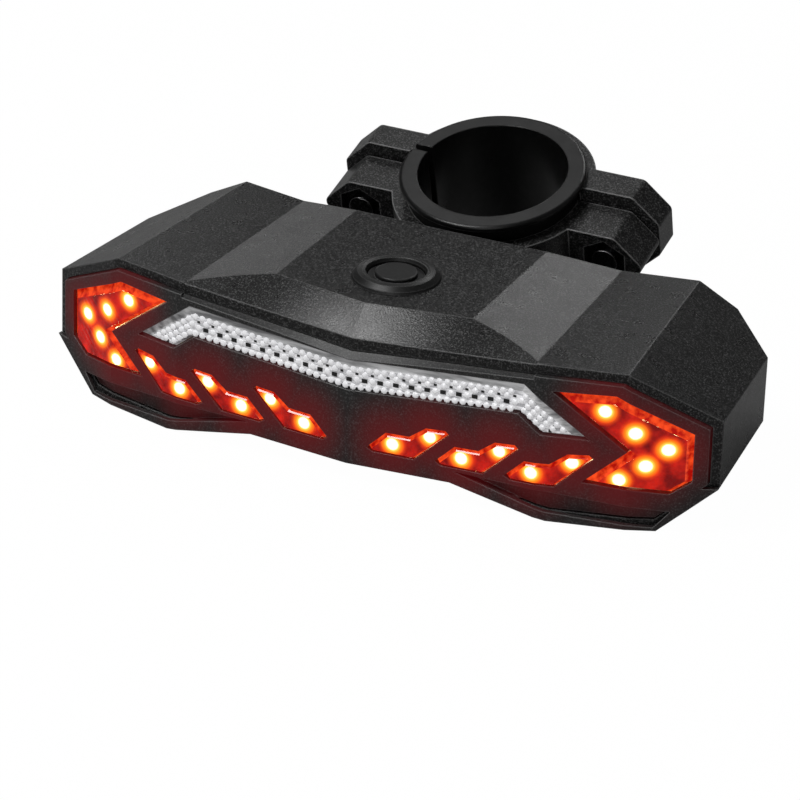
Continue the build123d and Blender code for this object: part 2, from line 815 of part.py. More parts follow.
def tilt_screw():
    """Cross screw of the tilt joint, head on the right."""
    reach = lug_inner + lug_thick
    shank = rod(pivot_bolt, 2 * reach + nut_thick_small + slip, -reach - nut_thick_small,
                pivot_back, pivot_height, "x")
    head = rod(head_radius_small, head_height_small, reach, pivot_back, pivot_height, "x")
    socket = hexagon(pivot_bolt, head_height_small, reach + head_height_small / 2,
                     pivot_back, pivot_height, "x")
    return shank + fillet(head.edges().group_by(Axis.X)[-1], slot) - socket


def tilt_nut():
    """Nut of the cross screw, on the left."""
    start = -lug_inner - lug_thick - nut_thick_small
    nut = hexagon(nut_flats_small, nut_thick_small, start, pivot_back, pivot_height, "x")
    return nut - rod(pivot_bolt + slip / 2, nut_thick_small * 3, start - nut_thick_small,
                     pivot_back, pivot_height, "x")


# Clamp, in its own frame: z along the bore, y away from the light

clamp_turn = Rot(post_lean, 0, 0)
liner_radius = bore + liner_wall
ring_radius = liner_radius + ring_wall
ring_low = clamp_half_height - flange - soft_gap


def ears(near, far, low, high):
    """Both ears of a clamp half as one bar with cut corners."""
    outline = [(-ear_half + ear_corner, high), (ear_half - ear_corner, high),
               (ear_half, high - ear_corner), (ear_half, low + ear_corner),
               (ear_half - ear_corner, low), (-ear_half + ear_corner, low),
               (-ear_half, low + ear_corner), (-ear_half, high - ear_corner)]
    bar = slab(outline, near, far)
    return fillet(bar.edges().filter_by(Axis.Y), ear_round)


def half_ring(radius, low, high, near, far):
    """The part of a cylinder between two depths."""
    solid = rod(radius, high - low, 0, 0, low)
    return solid & box(-radius * 2, radius * 2, near, far, low - overrun, high + overrun)


def screw_holes(near, far, radius):
    """Two holes along y at the ears."""
    return [rod(radius, far - near, side * screw_side, near, 0, "y") for side in (-1, 1)]


def front_clamp_half():
    """Half on the light's side: ears with nut pockets and the tilt knuckle."""
    shape = half_ring(ring_radius, -ring_low, front_top, -ring_radius, split_back)
    shape = shape + ears(-ear_front, split_back, -front_top, front_top)
    shape = clamp_turn * shape + knuckle()
    cutters = [rod(liner_radius + slip / 2, height * 2, 0, 0, -height),
               rod(flange_radius + fit, height, 0, 0, -height - ring_low)]
    cutters += screw_holes(-ear_front - overrun, split_back + overrun, screw_radius + slip)
    for side in (-1, 1):
        cutters.append(hexagon(screw_nut_flats + fit, pocket_floor + ear_front + overrun,
                               side * screw_side, -ear_front - overrun, 0))
    for cutter in cutters:
        shape = shape - clamp_turn * cutter
    return shape - to_part * rod(pivot_bolt + slip, half_width, -half_width / 2, pivot_back,
                                 pivot_height, "x")


def knuckle():
    """Round knuckle between the lugs with a neck up to the ring."""
    pin = to_part * rod(knuckle_radius, 2 * knuckle_half, -knuckle_half, pivot_back, pivot_height, "x")
    front_low = clamp_turn * Vertex(0, -ring_radius + slip, -ring_low)
    y0, z0 = pivot_back - post_behind, pivot_height - post_above
    back_low = clamp_turn * Vertex(0, -liner_radius, -ring_low)
    rise = ring_wall
    neck = beam([(y0 - knuckle_radius, z0), (y0 + knuckle_radius, z0), (back_low.Y, back_low.Z),
                 (back_low.Y - rise / 2, back_low.Z + rise), (front_low.Y - rise / 2, front_low.Z + rise),
                 (front_low.Y, front_low.Z)], -knuckle_half, knuckle_half)
    return pin + neck


def rear_clamp_half():
    """Cap with taller ears and seats for the screw heads."""
    start = split_back + split_gap
    shape = half_ring(ring_radius, -rear_top, rear_top, start, ring_radius)
    shape = shape + ears(start, ear_back, -rear_top, rear_top)
    cutters = [rod(liner_radius + soft_gap, height * 2, 0, 0, -height)]
    cutters += screw_holes(start - overrun, ear_back + overrun, screw_radius + slip)
    for cutter in cutters:
        shape = shape - cutter
    return clamp_turn * shape


def clamp_liner():
    """Rubber sleeve with a wide flange at both ends and a slit on the left."""
    bottom = -clamp_half_height - liner_drop
    tube = rod(liner_radius, clamp_half_height - bottom, 0, 0, bottom)
    for low in (bottom, clamp_half_height - flange):
        ring = rod(flange_radius, flange, 0, 0, low)
        tube = tube + fillet(ring.edges(), flange_round)
    tube = tube - rod(bore, height * 2, 0, 0, -height)
    middle = split_back + split_gap / 2
    slit = box(-height, -bore / 2, middle - liner_slit / 2, middle + liner_slit / 2, -height, height)
    return clamp_turn * (tube - slit)


def clamp_screw(side):
    """Socket-head screw through an ear, from behind."""
    tip = pocket_floor - screw_nut_thick - screw_tip
    shank = rod(screw_radius, ear_back - tip, side * screw_side, tip, 0, "y")
    head = rod(screw_head_radius, screw_head_deep, side * screw_side, ear_back, 0, "y")
    head = fillet(head.edges().group_by(Axis.Y)[-1], slot)
    socket = hexagon(screw_socket, screw_head_deep, side * screw_side, ear_back + screw_head_deep / 2, 0)
    return clamp_turn * (shank + head - socket)


def clamp_nut(side):
    """Nut at the bottom of its pocket."""
    start = pocket_floor - screw_nut_thick
    nut = hexagon(screw_nut_flats, screw_nut_thick, side * screw_side, start, 0)
    hole = rod(screw_radius + slip / 2, screw_nut_thick * 3, side * screw_side,
               start - screw_nut_thick, 0, "y")
    return clamp_turn * (nut - hole)


# Everything into its node

def save(name, shapes):
    """Write one node, moved from the light's frame if it belongs to the light."""
    solids = []
    for shape in shapes:
        solids += shape.solids()
    print(name, len(solids), round(sum(s.volume for s in solids), 1))
    export_step(Compound(children=solids) if len(solids) > 1 else solids[0], f"parts/{name}.step")


def save_light(name, *shapes):
    """Write a node that is drawn in the light's frame."""
    save(name, [to_part * shape for shape in shapes])


def main():
    """Write every node."""
    os.makedirs("parts", exist_ok=True)
    save_light("rear_housing", rear_housing())
    save_light("front_bezel", front_bezel())
    save_light("bezel_gasket", gasket_ring(fit, soft_gap / 2))
    save_light("bar_lens", lens(bar_points()))
    save_light("arrow_lens_right", lens(arrow_points()))
    save_light("arrow_lens_left", lens(across(arrow_points())))
    for number, name in enumerate(("inner", "middle", "outer")):
        save_light(f"right_chevron_{name}", lens(chevron_points(number)))
        save_light(f"left_chevron_{name}", lens(across(chevron_points(number))))
    save_light("led_board_centre", centre_board())
    save_light("led_board_right", end_board())
    save_light("led_board_left", mirror(end_board(), about=Plane.YZ))
    save_light("arrow_leds_right", *arrow_leds(1))
    save_light("arrow_leds_left", *arrow_leds(-1))
    save_light("chevron_leds", *chevron_leds())
    save_light("bar_leds", *bar_leds())
    save_light("light_baffle", light_baffle())
    save_light("board_screws", *board_screws())
    save_light("end_leads", *end_leads())
    save_light("board_cable", board_cable())
    save_light("control_board", control_plate())
    save_light("control_chips", *control_chips())
    save_light("radio_module", radio_module())
    save_light("antenna", antenna())
    save_light("control_screws", *[small_screw(post_screw_length, control_level, 1, x, y)
                                   for x, y in post_places])
    save_light("bezel_screws", *[small_screw(tab_screw_length, screw_head_height / 2, 1, x, y)
                                 for x, y in tab_screws])
    save_light("power_button", power_button())
    save_light("button_collar", button_collar())
    save_light("button_seal", button_seal())
    save_light("tact_switch", tact_switch())
    save_light("switch_plunger", switch_plunger())
    save_light("battery_cell", battery_cell())
    save_light("battery_lead", battery_lead())
    save_light("horn_disc", horn_disc())
    save_light("horn_lead", horn_lead())
    save_light("charge_port", charge_port())
    save_light("port_tongue", port_tongue_plate())
    save_light("port_plug", port_plug())
    save_light("plug_pin", plug_pin(plug_pin_radius))
    save_light("port_board", port_board(0))
    save_light("port_lead", port_lead())
    save_light("tilt_screw", tilt_screw())
    save_light("tilt_nut", tilt_nut())
    save("front_clamp_half", [front_clamp_half()])
    save("rear_clamp_half", [rear_clamp_half()])
    save("clamp_liner", [clamp_liner()])
    save("clamp_screw_left", [clamp_screw(-1)])
    save("clamp_screw_right", [clamp_screw(1)])
    save("clamp_nuts", [clamp_nut(-1), clamp_nut(1)])


main()
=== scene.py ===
# %% [markdown]
# # A bicycle turn signal light, dressed in Blender
# The solids come packed from CAD as a fixed frame. This script gives each of
# them its finish, swaps the plain lenses for finer surfaces, and adds the rows
# of beads, the small dark windows and the glow that make a lamp look lit.
# Everything is in metres, in the CAD's own frame: -Y is the way the lenses
# face, +Z is up, and the origin is the middle of the clamp's bore.

import bpy
import numpy as np
from mathutils import Matrix, Vector
from mathutils.geometry import delaunay_2d_cdt


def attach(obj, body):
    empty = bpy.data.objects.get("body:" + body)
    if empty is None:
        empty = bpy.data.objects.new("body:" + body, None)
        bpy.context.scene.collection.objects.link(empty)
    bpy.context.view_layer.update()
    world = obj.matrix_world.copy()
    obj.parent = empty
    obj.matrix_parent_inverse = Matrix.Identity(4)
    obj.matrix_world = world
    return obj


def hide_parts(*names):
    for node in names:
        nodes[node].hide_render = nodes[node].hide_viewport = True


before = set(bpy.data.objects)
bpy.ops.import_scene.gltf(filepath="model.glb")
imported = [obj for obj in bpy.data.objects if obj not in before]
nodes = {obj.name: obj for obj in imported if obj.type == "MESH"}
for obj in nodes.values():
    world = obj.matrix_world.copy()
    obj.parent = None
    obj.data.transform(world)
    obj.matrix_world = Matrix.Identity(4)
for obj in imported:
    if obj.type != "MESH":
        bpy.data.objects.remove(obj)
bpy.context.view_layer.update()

# %% [markdown]
# ## Camera
# The photograph was taken with a long lens from above and from the right. The
# viewing angles, the roll and the distance were solved from mirrored pairs of
# points on the object, so the camera is written as three axes and a place.

# %% Camera
camera_axes = Matrix(((0.90259239, 0.42939798, 0.03073036),
                      (-0.2138458, 0.38525864, 0.89768912),
                      (0.37362676, -0.81681892, 0.43955648)))
camera_place = Vector((0.29579, -0.687824, 0.326104))
camera_data = bpy.data.cameras.new("camera")
camera_data.sensor_width = 36.0
camera_data.lens = 192.75
camera_data.clip_end = 20.0
camera = bpy.data.objects.new("camera", camera_data)
bpy.context.scene.collection.objects.link(camera)
camera.matrix_world = Matrix.Translation(camera_place) @ camera_axes.transposed().to_4x4()
bpy.context.scene.camera = camera
print("camera", [round(v, 4) for v in camera_place], "lens", camera_data.lens)

# %% [markdown]
# ## Node helpers
# A material is a small graph. These helpers add one node at a time and join
# sockets by name, which keeps every material below short enough to read.


# %% Node helpers
def add(tree, kind, **values):
    """One node in a tree: settings by attribute, sockets by name."""
    node = tree.nodes.new(kind)
    for key, value in values.items():
        if hasattr(node, key):
            setattr(node, key, value)
        else:
            node.inputs[key.replace("_", " ")].default_value = value
    return node


def join(tree, source, target):
    """One link between an output and an input socket."""
    tree.links.new(source, target)


def new_material(name, **shader_values):
    """A material with one Principled BSDF whose plain values are set here."""
    material = bpy.data.materials.new(name)
    material.use_nodes = True
    tree = material.node_tree
    shader = tree.nodes["Principled BSDF"]
    for key, value in shader_values.items():
        shader.inputs[key.replace("_", " ")].default_value = value
    return material, tree, shader


def new_group(name, inputs, outputs):
    """An empty node group with named float, colour or vector sockets."""
    group = bpy.data.node_groups.new(name, "ShaderNodeTree")
    kinds = {"f": "NodeSocketFloat", "c": "NodeSocketColor", "v": "NodeSocketVector"}
    for direction, sockets in (("INPUT", inputs), ("OUTPUT", outputs)):
        for label, kind, *value in sockets:
            socket = group.interface.new_socket(label, in_out=direction, socket_type=kinds[kind])
            if value:
                socket.default_value = value[0]
    source = group.nodes.new("NodeGroupInput")
    sink = group.nodes.new("NodeGroupOutput")
    return group, source, sink


def place_group(tree, group, **values):
    """A node group placed in a material with its own values."""
    node = tree.nodes.new("ShaderNodeGroup")
    node.node_tree = group
    for key, value in values.items():
        node.inputs[key.replace("_", " ")].default_value = value
    return node


print("helpers ready")

# %% [markdown]
# ## Moulded grain
# The mould of a black plastic casing is spark-eroded, so its skin is a field of
# bumps about a fifth of a millimetre wide. They scatter tiny highlights that
# look like salt on the black. Noise at two scales gives the height, and the
# same noise lightens the tops a little, as handling does. Where the rounded
# normal that comes in differs from the flat face's own, there is an edge: one
# minus their dot product draws a thin painted highlight along it.

# %% Grain group
grain, source, sink = new_group(
    "moulded grain",
    [("Scale", "f", 5200.0), ("Depth", "f", 0.5), ("Dark", "c", (0.01, 0.01, 0.01, 1)),
     ("Light", "c", (0.05, 0.05, 0.05, 1)), ("Roughness", "f", 0.5), ("Normal", "v"),
     ("Wear", "f", 0.0), ("Edge", "c", (0.3, 0.3, 0.3, 1))],
    [("Color", "c"), ("Roughness", "f"), ("Normal", "v")])
place = add(grain, "ShaderNodeTexCoord")
fine = add(grain, "ShaderNodeTexNoise", Detail=2.0, Roughness=0.7)
coarse = add(grain, "ShaderNodeTexNoise", Scale=260.0, Detail=3.0)
join(grain, place.outputs["Object"], fine.inputs["Vector"])
join(grain, place.outputs["Object"], coarse.inputs["Vector"])
join(grain, source.outputs["Scale"], fine.inputs["Scale"])
peaks = add(grain, "ShaderNodeMapRange", From_Min=0.5, From_Max=0.76)
join(grain, fine.outputs["Fac"], peaks.inputs["Value"])
tint = add(grain, "ShaderNodeMix", data_type="RGBA")
join(grain, peaks.outputs["Result"], tint.inputs[0])
join(grain, source.outputs["Dark"], tint.inputs[6])
join(grain, source.outputs["Light"], tint.inputs[7])
surface = add(grain, "ShaderNodeNewGeometry")
same = add(grain, "ShaderNodeVectorMath", operation="DOT_PRODUCT")
join(grain, source.outputs["Normal"], same.inputs[0])
join(grain, surface.outputs["Normal"], same.inputs[1])
# Painted highlight: a lighter colour in a thin line along the edges, where the bevelled normal
# leaves the face's own.
highlight_mask = add(grain, "ShaderNodeMapRange", From_Min=0.995, From_Max=0.93, To_Min=0.0, To_Max=1.0)
join(grain, same.outputs["Value"], highlight_mask.inputs["Value"])
highlight_share = add(grain, "ShaderNodeMath", operation="MULTIPLY")
join(grain, highlight_mask.outputs["Result"], highlight_share.inputs[0])
join(grain, source.outputs["Wear"], highlight_share.inputs[1])
highlighted = add(grain, "ShaderNodeMix", data_type="RGBA")
join(grain, highlight_share.outputs[0], highlighted.inputs[0])
join(grain, tint.outputs[2], highlighted.inputs[6])
join(grain, source.outputs["Edge"], highlighted.inputs[7])
join(grain, highlighted.outputs[2], sink.inputs["Color"])
patch = add(grain, "ShaderNodeMapRange", To_Min=-0.06, To_Max=0.06)
join(grain, coarse.outputs["Fac"], patch.inputs["Value"])
rough = add(grain, "ShaderNodeMath", operation="ADD")
join(grain, source.outputs["Roughness"], rough.inputs[0])
join(grain, patch.outputs["Result"], rough.inputs[1])
join(grain, rough.outputs[0], sink.inputs["Roughness"])
bump = add(grain, "ShaderNodeBump", Distance=0.00008)
join(grain, source.outputs["Depth"], bump.inputs["Strength"])
join(grain, fine.outputs["Fac"], bump.inputs["Height"])
join(grain, source.outputs["Normal"], bump.inputs["Normal"])
join(grain, bump.outputs["Normal"], sink.inputs["Normal"])
print("grain group", len(grain.nodes), "nodes")

# %% [markdown]
# ## Sizes of the light
# The lenses are drawn in the light's own millimetres: x from its middle, z up
# from its underside, and depth backwards from the middle of the front plate.
# The origin of the part is in the clamp, behind and above that starting point.
# Each lens is a share of a rectangle, which has a start, a width and a height.

# %% Sizes in millimetres
origin_behind = 63.9
origin_above = 28.3
inner_crease = 36.01
outer_crease = 51.97
half_width = 68.2
plate_depths = [0, 2.3, 6.5, 13.8]
chevron_start = 3.9
chevron_low = 6.9
chevron_pitch = 13.2
chevron_wide = 15.8
chevron_tall = 7.1
arrow_start = 38.3
arrow_low = 7.4
arrow_wide = 24.25
arrow_tall = 18.7
print("half width", half_width, "mm, arrow", arrow_wide, "by", arrow_tall, "mm")

# %% [markdown]
# ## Red spill
# The lit lenses throw red light on the plate round them. In the picture this
# wash is much stronger than the small lamps alone would give, so the plate's
# own colour carries a soft red halo: the distance to each lamp, turned into a
# falling weight.


# %% Halo group
def lens_halo(name, centres, radius, falling="SMOOTHERSTEP"):
    """Group with a Mask output: the largest of smooth(1 - distance / radius) over the
    centres, the distance taken in x and z only, worked out with Vector Math nodes."""
    group, _, out = new_group(name, [], [("Mask", "f")])
    where = add(group, "ShaderNodeTexCoord")
    flat = add(group, "ShaderNodeVectorMath", operation="MULTIPLY")
    flat.inputs[1].default_value = (1, 0, 1)
    join(group, where.outputs["Object"], flat.inputs[0])
    total = None
    for x, z in centres:
        gap = add(group, "ShaderNodeVectorMath", operation="DISTANCE")
        gap.inputs[1].default_value = (x, 0, z)
        join(group, flat.outputs[0], gap.inputs[0])
        near = add(group, "ShaderNodeMapRange", interpolation_type=falling,
                   From_Min=radius, From_Max=0.0, To_Min=0.0, To_Max=1.0)
        join(group, gap.outputs["Value"], near.inputs["Value"])
        if total is None:
            total = near.outputs["Result"]
        else:
            most = add(group, "ShaderNodeMath", operation="MAXIMUM")
            join(group, total, most.inputs[0])
            join(group, near.outputs["Result"], most.inputs[1])
            total = most.outputs[0]
    join(group, total, out.inputs["Mask"])
    return group


def lamp_place(side, x, z):
    """From the light's own millimetres to the part's metres, on one side."""
    return side * x / 1000, (z - origin_above) / 1000


chevron_lamps = ((0.315, 0.32), (0.765, 0.74))
arrow_lamps = ((0.385, 0.83), (0.605, 0.63), (0.83, 0.47), (0.685, 0.29), (0.508, 0.13))
lamp_spots = []
for side in (-1, 1):
    for n in range(3):
        start = chevron_start + chevron_pitch * n
        lamp_spots += [lamp_place(side, start + chevron_wide * x, chevron_low + chevron_tall * z)
                       for x, z in chevron_lamps]
    lamp_spots += [lamp_place(side, arrow_start + arrow_wide * x, arrow_low + arrow_tall * z)
                   for x, z in arrow_lamps]
spill_radius = 0.0125
halo = lens_halo("red halo", lamp_spots, spill_radius)
print(len(lamp_spots), "lit lamps")


# %% [markdown]
# ## Plastics, rubber and metal
# The casing is coarse-grained matt black. The front plate is a little finer
# and carries the red wash. The liner is smooth rubber and the button a satin
# plastic. Clamp screws and nuts are blackened steel. The casing, plate, clamp,
# satin plastics and dark steel get a painted highlight along their edges.


# %% Plastics and rubbers
def grained(name, scale, depth, dark, light, roughness, edge=0.0001, edge_highlight=0.0, **shader_values):
    """A Principled material whose colour, roughness and normal come from the grain group.
    The Bevel node turns the normal within the edge radius, as a moulded corner would."""
    material, tree, shader = new_material(name, **shader_values)
    # The last share given to the grain group sets how strong the painted highlight along the edges
    # is.
    skin = place_group(tree, grain, Scale=scale, Depth=depth, Roughness=roughness,
                       Dark=(*dark, 1), Light=(*light, 1), Wear=edge_highlight)
    corner = add(tree, "ShaderNodeBevel", samples=4, Radius=edge)
    join(tree, corner.outputs["Normal"], skin.inputs["Normal"])
    join(tree, skin.outputs["Color"], shader.inputs["Base Color"])
    join(tree, skin.outputs["Roughness"], shader.inputs["Roughness"])
    join(tree, skin.outputs["Normal"], shader.inputs["Normal"])
    return material, tree, shader, skin


casing_black, *_ = grained("casing black", 3000, 0.65, (0.004,) * 3, (0.12,) * 3, 0.29,
                           edge=0.0004, edge_highlight=0.35, Specular_IOR_Level=0.3)
plate_black, tree, shader, skin = grained("plate black", 3000, 0.45, (0.018,) * 3, (0.09,) * 3,
                                          0.4, edge=0.0003, edge_highlight=0.5, Specular_IOR_Level=0.25)
# Painted red light spill: near the lamps the plate's colour turns red and the plate also glows
# faintly red.
wash = place_group(tree, halo)
weight = add(tree, "ShaderNodeMath", operation="MULTIPLY")
weight.inputs[1].default_value = 0.9
join(tree, wash.outputs["Mask"], weight.inputs[0])
reddened = add(tree, "ShaderNodeMix", data_type="RGBA")
reddened.inputs[7].default_value = (0.07, 0.004, 0.005, 1)
join(tree, weight.outputs[0], reddened.inputs[0])
join(tree, skin.outputs["Color"], reddened.inputs[6])
join(tree, reddened.outputs[2], shader.inputs["Base Color"])
glow = add(tree, "ShaderNodeMix", data_type="RGBA")
glow.inputs[6].default_value = (0, 0, 0, 1)
glow.inputs[7].default_value = (0.06, 0.002, 0.003, 1)
join(tree, weight.outputs[0], glow.inputs[0])
join(tree, glow.outputs[2], shader.inputs["Emission Color"])
shader.inputs["Emission Strength"].default_value = 1.0
clamp_black, *_ = grained("clamp black", 3000, 0.65, (0.004,) * 3, (0.14,) * 3, 0.31,
                          edge=0.0004, edge_highlight=0.9, Specular_IOR_Level=0.35)
liner_rubber, *_ = grained("liner rubber", 900, 0.04, (0.003,) * 3, (0.006,) * 3, 0.3,
                           edge=0.0004, Specular_IOR_Level=0.3)
satin_black, *_ = grained("satin black", 2600, 0.12, (0.006,) * 3, (0.016,) * 3, 0.42,
                          edge=0.0003, edge_highlight=0.3, Specular_IOR_Level=0.3)
print("plastics ready")

# %% Steel, boards and other inner finishes
dark_steel, *_ = grained("dark steel", 1800, 0.25, (0.05, 0.05, 0.052), (0.22, 0.22, 0.23), 0.32,
                         edge=0.0003, edge_highlight=0.9, Metallic=1.0)
plain_steel, *_ = grained("plain steel", 1500, 0.15, (0.42, 0.42, 0.44), (0.6, 0.6, 0.62), 0.28,
                          Metallic=1.0)
board_green, *_ = grained("board green", 420, 0.1, (0.004, 0.09, 0.03), (0.01, 0.17, 0.06), 0.3)
chip_black, *_ = grained("chip black", 1500, 0.2, (0.012,) * 3, (0.025,) * 3, 0.5)
wire_red, *_ = grained("wire red", 900, 0.1, (0.3, 0.012, 0.01), (0.42, 0.02, 0.015), 0.4)
cell_blue, *_ = grained("cell wrap", 700, 0.06, (0.02, 0.08, 0.24), (0.03, 0.11, 0.3), 0.3)
lamp_unlit, *_ = grained("lamp body", 900, 0.03, (0.75, 0.7, 0.6), (0.85, 0.8, 0.7), 0.2)
print("inner finishes ready")

# %% [markdown]
# ## Lit lamps
# Each lamp is a white-hot spot in a yellow ring. Looked at through red
# plastic, the middle of a lamp stays white because it overloads the eye, and
# an orange halo spreads over the lens round it. The halo is drawn on the lens
# itself, as light scattered in the red plastic.

# %% Lamp and halo values
lamp_lit, tree, shader = new_material("lamp lit", Base_Color=(1, 0.8, 0.4, 1), Roughness=0.3,
                                      Emission_Color=(1.0, 0.86, 0.45, 1), Emission_Strength=6.0)
speck = add(tree, "ShaderNodeTexNoise", Scale=900.0)
speck_place = add(tree, "ShaderNodeTexCoord")
join(tree, speck_place.outputs["Object"], speck.inputs["Vector"])
speck_range = add(tree, "ShaderNodeMapRange", To_Min=0.2, To_Max=0.4)
join(tree, speck.outputs["Fac"], speck_range.inputs["Value"])
join(tree, speck_range.outputs["Result"], shader.inputs["Roughness"])
lamp_radius = 0.003
inner_halo = lens_halo("lamp halo", lamp_spots, lamp_radius, "LINEAR")
print("lamp halo reaches", lamp_radius, "m")


# %% [markdown]
# ## Red lenses
# A lens is tinted clear plastic with fine ribs moulded on its inside. From
# outside one sees saturated red, darker where the lamp's light doesn't reach,
# with small sparks where a rib catches it. A Principled shader with a coat
# gives the clear outer face. The colour below it comes from a cloud of noise
# and from the lamps' halo, and small cells bump it as the ribs do.

# %% Red lens material
red_lens, tree, shader = new_material("red lens", Roughness=0.15, Coat_Weight=0.25,
                                      Coat_Roughness=0.04, Specular_IOR_Level=0.2,
                                      Emission_Strength=1.0)
where = add(tree, "ShaderNodeTexCoord")
cells = add(tree, "ShaderNodeTexVoronoi", Scale=1300.0)
join(tree, where.outputs["Object"], cells.inputs["Vector"])
cloud = add(tree, "ShaderNodeTexNoise", Scale=330.0, Detail=4.0)
join(tree, where.outputs["Object"], cloud.inputs["Vector"])
depths = add(tree, "ShaderNodeMapRange", From_Min=0.35, From_Max=0.7)
join(tree, cloud.outputs["Fac"], depths.inputs["Value"])
base = add(tree, "ShaderNodeMix", data_type="RGBA")
base.inputs[6].default_value = (0.16, 0.001, 0.001, 1)
base.inputs[7].default_value = (0.42, 0.004, 0.003, 1)
join(tree, depths.outputs["Result"], base.inputs[0])
join(tree, base.outputs[2], shader.inputs["Base Color"])
orange = place_group(tree, inner_halo)
low_glow = add(tree, "ShaderNodeMix", data_type="RGBA")
low_glow.inputs[6].default_value = (0.11, 0.002, 0.002, 1)
low_glow.inputs[7].default_value = (0.5, 0.012, 0.004, 1)
join(tree, depths.outputs["Result"], low_glow.inputs[0])
light_ramp = add(tree, "ShaderNodeValToRGB")
steps = [(0.0, (0.5, 0.012, 0.004)), (0.22, (0.85, 0.075, 0.004)), (0.45, (1.25, 0.3, 0.01)),
         (0.59, (1.6, 0.75, 0.1)), (0.7, (3.0, 2.5, 1.4))]
while len(light_ramp.color_ramp.elements) < len(steps):
    light_ramp.color_ramp.elements.new(0.5)
for element, (position, colour) in zip(light_ramp.color_ramp.elements, steps):
    element.position = position
    element.color = (*colour, 1)
join(tree, orange.outputs["Mask"], light_ramp.inputs["Fac"])
edge_of_halo = add(tree, "ShaderNodeMapRange", From_Min=0.0, From_Max=0.4)
join(tree, orange.outputs["Mask"], edge_of_halo.inputs["Value"])
hot = add(tree, "ShaderNodeMix", data_type="RGBA")
join(tree, edge_of_halo.outputs["Result"], hot.inputs[0])
join(tree, low_glow.outputs[2], hot.inputs[6])
join(tree, light_ramp.outputs["Color"], hot.inputs[7])
join(tree, hot.outputs[2], shader.inputs["Emission Color"])
ribs = add(tree, "ShaderNodeBump", Strength=0.35, Distance=0.0002)
join(tree, cells.outputs["Distance"], ribs.inputs["Height"])
join(tree, ribs.outputs["Normal"], shader.inputs["Normal"])
print("red lens", len(tree.nodes), "nodes")

# %% [markdown]
# ## The clear bar
# The unlit lamp in the middle is a clear bar over a white reflector. Rows of
# round beads are moulded in it, and between them the dark inside shows as
# small black squares. The bar's body keeps a pale, slightly grey look. The bar,
# its chamfer and its beads also carry a faint painted glow that brightens them.
# The beads are real domes, added further down, and a Layer Weight paints shade
# on them where they turn away, as clear beads look darker at their rims.


# %% Bar materials
def two_tone(tree, value, dark, light, start=0.0, end=1.0):
    """Colour from dark at the start value to light at the end value."""
    ramp = add(tree, "ShaderNodeValToRGB")
    for element, position, colour in zip(ramp.color_ramp.elements, (start, end), (dark, light)):
        element.position = position
        element.color = (*colour, 1)
    join(tree, value, ramp.inputs["Fac"])
    return ramp.outputs["Color"]


bar_white, tree, shader = new_material("bar white", Roughness=0.16, Coat_Weight=0.5,
                                       Coat_Roughness=0.05)
where = add(tree, "ShaderNodeTexCoord")
streak_map = add(tree, "ShaderNodeMapping")
streak_map.inputs["Scale"].default_value = (1, 1, 6)
streaks = add(tree, "ShaderNodeTexNoise", Scale=420.0, Detail=3.0)
join(tree, where.outputs["Object"], streak_map.inputs["Vector"])
join(tree, streak_map.outputs["Vector"], streaks.inputs["Vector"])
pale = two_tone(tree, streaks.outputs["Fac"], (0.42, 0.42, 0.44), (0.86, 0.86, 0.88), 0.38, 0.56)
join(tree, pale, shader.inputs["Base Color"])
# Painted glow: the bar's pale colour is also emitted faintly, to brighten it.
join(tree, pale, shader.inputs["Emission Color"])
shader.inputs["Emission Strength"].default_value = 0.25
bar_bead, tree, shader = new_material("bar bead", Roughness=0.06, Specular_IOR_Level=0.8,
                                      Coat_Weight=1.0, Coat_Roughness=0.02)
where = add(tree, "ShaderNodeTexCoord")
mottle = add(tree, "ShaderNodeTexNoise", Scale=900.0)
join(tree, where.outputs["Object"], mottle.inputs["Vector"])
bead_tone = two_tone(tree, mottle.outputs["Fac"], (0.7, 0.7, 0.72), (0.95, 0.95, 0.97))
# Painted shade: the beads turn grey where they face away from the camera.
slant = add(tree, "ShaderNodeLayerWeight", Blend=0.5)
rim_shade_mask = add(tree, "ShaderNodeMapRange", From_Min=0.45, From_Max=0.8)
join(tree, slant.outputs["Facing"], rim_shade_mask.inputs["Value"])
bead = add(tree, "ShaderNodeMix", data_type="RGBA")
bead.inputs[7].default_value = (0.16, 0.16, 0.17, 1)
join(tree, rim_shade_mask.outputs["Result"], bead.inputs[0])
join(tree, bead_tone, bead.inputs[6])
join(tree, bead.outputs[2], shader.inputs["Base Color"])
# Painted glow: the bead colour is also emitted faintly.
join(tree, bead.outputs[2], shader.inputs["Emission Color"])
shader.inputs["Emission Strength"].default_value = 0.25
print("bar materials ready")

# %% [markdown]
# ## Finishes onto the CAD nodes
# Every solid that keeps its CAD shape only needs its material slots filled.


# %% Assign finishes
def finish_with(material, *names):
    """Put one material on CAD nodes, in place of all their slots."""
    for name in names:
        mesh = nodes[name].data
        mesh.materials.clear()
        mesh.materials.append(material)


chevron_names = [f"{side}_chevron_{n}" for side in ("right", "left")
                 for n in ("inner", "middle", "outer")]
finish_with(casing_black, "rear_housing")
finish_with(plate_black, "front_bezel")
finish_with(satin_black, "power_button", "button_collar", "tact_switch", "switch_plunger",
            "horn_disc", "port_tongue", "light_baffle")
finish_with(liner_rubber, "bezel_gasket", "button_seal", "port_plug", "clamp_liner")
finish_with(clamp_black, "front_clamp_half", "rear_clamp_half")
finish_with(dark_steel, "tilt_screw", "tilt_nut", "clamp_nuts", "clamp_screw_left",
            "clamp_screw_right", "plug_pin")
finish_with(plain_steel, "control_screws", "bezel_screws", "board_screws", "charge_port",
            "antenna")
finish_with(board_green, "led_board_centre", "led_board_right", "led_board_left",
            "control_board", "port_board", "radio_module")
finish_with(chip_black, "control_chips")
finish_with(wire_red, "end_leads", "board_cable", "battery_lead", "horn_lead", "port_lead")
finish_with(cell_blue, "battery_cell")
